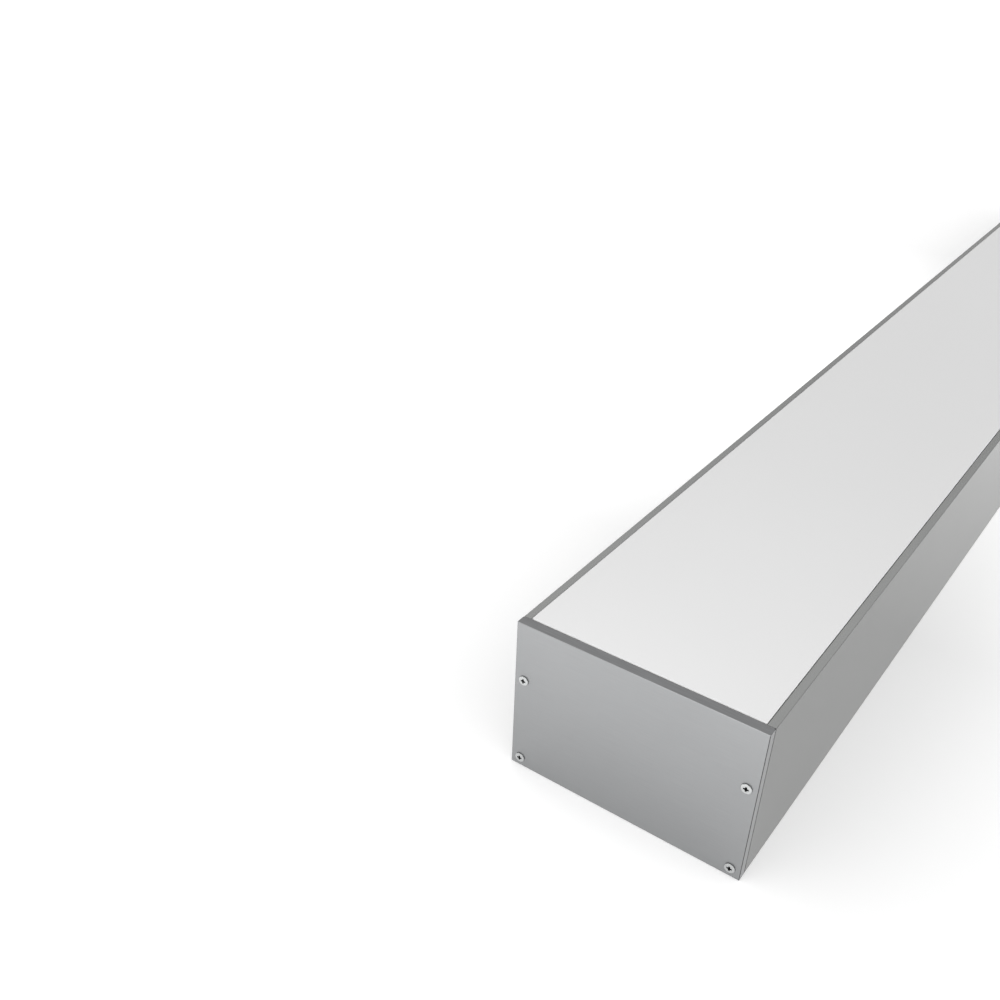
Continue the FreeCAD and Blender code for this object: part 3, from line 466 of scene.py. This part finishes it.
EDGE_BREAKS = {
    "left_end_plate": 0.1 * MM,
    "right_end_plate": 0.1 * MM,
    "left_end_gasket": 0.05 * MM,
    "right_end_gasket": 0.05 * MM,
    "casing_extrusion": 0.12 * MM,
    "radiant_panel": 0.12 * MM,
    "left_wall_nut": 0.25 * MM,
    "right_wall_nut": 0.25 * MM,
}
MERGE_DISTANCE = 1e-6
FLAT_ANGLE = math.radians(1)
EDGE_ANGLE = math.radians(30)

# an end screw: its radii and roundings, and the cross that is cut into it
SCREW_HEAD = 2.75 * MM
SCREW_HEAD_ROUNDING = 0.5 * MM
SCREW_SEAT_ROUNDING = 0.1 * MM
SCREW_SHANK = 1.5 * MM
CROSS_REACH = 1.4 * MM
CROSS_HALF_WIDTH = 0.4 * MM
CROSS_DEPTH = 0.95 * MM
CROSS_CLEARANCE = 0.2 * CROSS_DEPTH
CROSS_TOP_SCALE, CROSS_FLOOR_SCALE = 1.08, 0.5
CROSS_CORNER = 1.3

BUTTON_CAP = 3 * MM
BUTTON_PLUNGER = 2 * MM
BUTTON_FLANGE_GAP = 0.3 * MM
BUTTON_FLANGE_THICKNESS = 2 * MM
BUTTON_DISH = 0.35 * MM

GROMMET_BORE = 4 * MM
GROMMET_NECK = 5.9 * MM
GROMMET_RIM_GAP = 0.1 * MM
GROMMET_RECESS = 1 * MM
CASING_BACK = 3 * MM

ROUND_STEPS = 64
GROMMET_STEPS = 72


def make_softened(node, width):
    """A CAD node's shape with its sharp edges broken by a small round bevel."""
    work = bmesh.new()
    work.from_mesh(NODES[node].data)
    bmesh.ops.remove_doubles(work, verts=work.verts, dist=MERGE_DISTANCE)
    bmesh.ops.dissolve_limit(work, angle_limit=FLAT_ANGLE, verts=work.verts, edges=work.edges)
    item = new_object(f"{node}_finished", work)
    bevel = item.modifiers.new("edge_break", "BEVEL")
    bevel.width = width
    bevel.segments = 2
    bevel.limit_method = "ANGLE"
    bevel.angle_limit = EDGE_ANGLE
    item.data.shade_smooth()
    item.modifiers.new("flat_faces", "WEIGHTED_NORMAL").weight = 100
    settle(item)
    stand_in(item, node)


def cross_cutter(top):
    """The plug that cuts a screw's cross recess: it narrows towards its floor."""
    work = bmesh.new()
    levels = ((top + CROSS_CLEARANCE, CROSS_TOP_SCALE), (top - CROSS_DEPTH, CROSS_FLOOR_SCALE))
    loops = []
    for height, narrowing in levels:
        reach = CROSS_REACH * narrowing
        half = CROSS_HALF_WIDTH * (0.6 + 0.4 * narrowing)
        arm = [(reach, -half), (reach, half), (half * CROSS_CORNER, half * CROSS_CORNER)]
        loop = []
        for quarter in range(4):
            turn = Matrix.Rotation(quarter * math.pi / 2, 2)
            for corner in arm:
                x, y = turn @ Vector(corner)
                loop.append(work.verts.new((x, y, height)))
        loops.append(loop)
        work.faces.new(loop)
    upper, lower = loops
    for step in range(len(upper)):
        along = (step + 1) % len(upper)
        work.faces.new((upper[step], upper[along], lower[along], lower[step]))
    return new_object("cross_cutter", work)


def screw_mesh(length, head_height):
    """A low pan head screw, its head up and its seat at z = 0, with a cut cross recess."""
    outline = rounded_outline([
        (0, -length, 0),
        (SCREW_SHANK * 0.7, -length, 0),
        (SCREW_SHANK, -length + SCREW_SHANK * 0.5, 0),
        (SCREW_SHANK, 0, 0),
        (SCREW_HEAD * 0.95, 0, 0),
        (SCREW_HEAD, head_height * 0.15, SCREW_SEAT_ROUNDING),
        (SCREW_HEAD * 0.97, head_height * 0.97, SCREW_HEAD_ROUNDING),
        (0, head_height, 0),
    ])
    work = bmesh.new()
    spin(work, outline, ROUND_STEPS, closed=False)
    item = new_object("screw", work)
    item.data.materials.append(MATERIALS["bright_screw"])
    cutter = cross_cutter(head_height)
    cutter.data.materials.append(MATERIALS["screw_recess"])
    cut = item.modifiers.new("recess", "BOOLEAN")
    cut.operation = "DIFFERENCE"
    cut.solver = "EXACT"
    cut.material_mode = "TRANSFER"
    cut.object = cutter
    settle(item)
    mesh = item.data
    bpy.data.objects.remove(cutter)
    bpy.data.objects.remove(item)
    return mesh


def make_end_screws(node, plate, side):
    """Four screws whose heads bear on the outer face of an end plate."""
    low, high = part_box(node)
    plate_low, plate_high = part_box(plate)
    face = plate_high[0] if side > 0 else plate_low[0]
    head_height = high[0] - face if side > 0 else face - low[0]
    length = face - low[0] if side > 0 else high[0] - face
    mesh = screw_mesh(length, head_height)
    upright = Matrix.Rotation(side * math.pi / 2, 4, "Y")
    work = bmesh.new()
    for y in (low[1] + SCREW_HEAD, high[1] - SCREW_HEAD):
        for z in (low[2] + SCREW_HEAD, high[2] - SCREW_HEAD):
            copy = mesh.copy()
            copy.transform(Matrix.Translation((face, y, z)) @ upright)
            work.from_mesh(copy)
    item = new_object(f"{node}_finished", work)
    smooth(item, 35)
    stand_in(item, node, (MATERIALS["bright_screw"], MATERIALS["screw_recess"]))


def make_reset_button():
    """The button's cap, with a dished face, its flange and its plunger."""
    low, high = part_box("reset_button")
    flange = (high[2] - low[2]) / 2
    flange_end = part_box("right_end_plate")[0][0] - BUTTON_FLANGE_GAP
    flange_start = flange_end - BUTTON_FLANGE_THICKNESS
    outline = rounded_outline([
        (0, low[0], 0),
        (BUTTON_PLUNGER, low[0], 0.3 * MM),
        (BUTTON_PLUNGER, flange_start, 0),
        (flange, flange_start, 0.2 * MM),
        (flange, flange_end, 0.2 * MM),
        (BUTTON_CAP, flange_end, 0),
        (BUTTON_CAP, high[0], 0.5 * MM),
        (BUTTON_CAP * 0.72, high[0], 0.3 * MM),
        (BUTTON_CAP * 0.5, high[0] - BUTTON_DISH + 0.05 * MM, 0.4 * MM),
        (0, high[0] - BUTTON_DISH, 0),
    ])
    work = bmesh.new()
    spin(work, outline, ROUND_STEPS, closed=False)
    turn = Matrix.Rotation(math.pi / 2, 4, "Y")
    centre = Matrix.Translation((0, (low[1] + high[1]) / 2, (low[2] + high[2]) / 2))
    bmesh.ops.transform(work, matrix=centre @ turn, verts=work.verts)
    item = new_object("reset_button_finished", work)
    smooth(item, 40)
    stand_in(item, "reset_button")


def make_grommet():
    """The cable entry's liner, with a rounded mouth at each end."""
    low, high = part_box("cable_entry_grommet")
    rim = (high[0] - low[0]) / 2
    outer_rim = rim - GROMMET_RIM_GAP
    outline = rounded_outline([
        (GROMMET_BORE, low[2], 0.45 * MM),
        (outer_rim, low[2], 0.2 * MM),
        (outer_rim, GROMMET_RECESS, 0),
        (GROMMET_NECK, GROMMET_RECESS, 0),
        (GROMMET_NECK, CASING_BACK, 0),
        (rim, CASING_BACK, 0.15 * MM),
        (rim, high[2], 0.6 * MM),
        (GROMMET_BORE, high[2], 0.45 * MM),
    ])
    work = bmesh.new()
    spin(work, outline, GROMMET_STEPS, closed=True)
    centre = Matrix.Translation(((low[0] + high[0]) / 2, (low[1] + high[1]) / 2, 0))
    bmesh.ops.transform(work, matrix=centre, verts=work.verts)
    item = new_object("cable_entry_grommet_finished", work)
    smooth(item, 35)
    stand_in(item, "cable_entry_grommet")


def finish_nodes():
    """Gives every CAD node its slot's material."""
    for name, item in NODES.items():
        item.data.materials.clear()
        item.data.materials.append(MATERIALS[SLOT_OF[name]])


# Studio

FLOOR_SIZE = 14
FLOOR_DROP = 0.1 * MM
FLOOR_GLOW = 0.3
END_GLOW = 0.85
END_GLOW_REACH = 0.15
MIDDLE_GLOW = 0.34
MIDDLE_GLOW_START = 0.05
MIDDLE_GLOW_END = 0.37
SKY_PEAK = 1.75
# stops of the sky's brightness: the height of a direction, from level to overhead, and its share
SKY = ((0.0, 0.6), (0.07, 0.6), (0.16, 0.4), (0.3, 0.4), (0.62, 1.0), (1.0, 0.0))

KEY_SPOT = (-0.70, 0.0, 0.32)
KEY_TARGET = (-0.6, 0, 0.09)
KEY_SIZE = (0.2, 0.2)
KEY_POWER = 0.17

CAMERA_AZIMUTH = math.radians(-52.05)
CAMERA_ELEVATION = math.radians(33.89)
CAMERA_SPOT = (-0.9443, -0.1643, 0.4007)
CAMERA_SENSOR = 36
CAMERA_LENS = 39.12
CAMERA_SHIFT = (0.0495, 0.0619)
CAMERA_CLIP = 0.01


def make_floor():
    """A white table, lit a little from within, and more so beyond the bar's ends and at its middle."""
    work = bmesh.new()
    bmesh.ops.create_grid(work, x_segments=1, y_segments=1, size=FLOOR_SIZE)
    floor = new_object("floor", work)
    floor.location.z = CAD_BOX[0][2] - FLOOR_DROP
    t = Tree("floor")
    along = t.nodes.new("ShaderNodeSeparateXYZ")
    t.links.new(t.place, along.inputs["Vector"])
    from_middle = t.math("ABSOLUTE", along.outputs["X"])
    past_end = t.math("SUBTRACT", from_middle, CAD_BOX[1][0])
    end_glow = t.fit(past_end, 0, END_GLOW_REACH, FLOOR_GLOW, END_GLOW)
    middle_glow = t.fit(from_middle, MIDDLE_GLOW_START, MIDDLE_GLOW_END, MIDDLE_GLOW, 0)
    t.set(
        base_color=t.mix(t.noise(3, 2.0, 0.5), grey(0.80), grey(0.81)),
        roughness=0.9,
        specular_ior_level=0.0,
        emission_color=(1, 1, 1, 1),
        emission_strength=t.math("ADD", end_glow, middle_glow),
    )
    floor.data.materials.append(t.material)


def make_world():
    """Soft light from all round: a bright band at half height, and a dark ceiling."""
    world = bpy.data.worlds.new("studio")
    bpy.context.scene.world = world
    world.use_nodes = True
    nodes, links = world.node_tree.nodes, world.node_tree.links
    direction = nodes.new("ShaderNodeTexCoord").outputs["Generated"]
    parts = nodes.new("ShaderNodeSeparateXYZ")
    links.new(direction, parts.inputs["Vector"])
    ramp = nodes.new("ShaderNodeValToRGB")
    ramp.color_ramp.interpolation = "EASE"
    links.new(parts.outputs["Z"], ramp.inputs["Fac"])
    stops = ramp.color_ramp.elements
    while len(stops) < len(SKY):
        stops.new(0.5)
    for stop, (height, level) in zip(stops, SKY):
        stop.position = height
        stop.color = grey(level)
    strength = nodes.new("ShaderNodeMath")
    strength.operation = "MULTIPLY"
    links.new(ramp.outputs["Color"], strength.inputs[0])
    strength.inputs[1].default_value = SKY_PEAK
    background = nodes["Background"]
    background.inputs["Color"].default_value = (1, 1, 1, 1)
    links.new(strength.outputs["Value"], background.inputs["Strength"])


def area_light(name, spot, target, size, power):
    data = bpy.data.lights.new(name, "AREA")
    data.shape = "RECTANGLE"
    data.size, data.size_y = size
    data.energy = power
    light = bpy.data.objects.new(name, data)
    light.location = spot
    light.rotation_euler = (Vector(target) - Vector(spot)).to_track_quat("-Z", "Y").to_euler()
    bpy.context.scene.collection.objects.link(light)


def make_camera():
    """The near end plate is seen from its outer side, a little over a quarter turn round."""
    back = Vector((
        math.sin(CAMERA_AZIMUTH) * math.cos(CAMERA_ELEVATION),
        -math.cos(CAMERA_AZIMUTH) * math.cos(CAMERA_ELEVATION),
        math.sin(CAMERA_ELEVATION),
    ))
    data = bpy.data.cameras.new("camera")
    data.sensor_width = CAMERA_SENSOR
    data.lens = CAMERA_LENS
    data.shift_x, data.shift_y = CAMERA_SHIFT
    data.clip_start = CAMERA_CLIP
    camera = bpy.data.objects.new("camera", data)
    camera.location = CAMERA_SPOT
    camera.rotation_euler = (-back).to_track_quat("-Z", "Y").to_euler()
    bpy.context.scene.collection.objects.link(camera)
    bpy.context.scene.camera = camera


finish_nodes()
for node, width in EDGE_BREAKS.items():
    make_softened(node, width)
make_end_screws("left_end_screws", "left_end_plate", -1)
make_end_screws("right_end_screws", "right_end_plate", 1)
make_reset_button()
make_grommet()
make_floor()
make_world()
area_light("key", KEY_SPOT, KEY_TARGET, KEY_SIZE, KEY_POWER)
make_camera()
bpy.context.scene.view_settings.view_transform = "Standard"
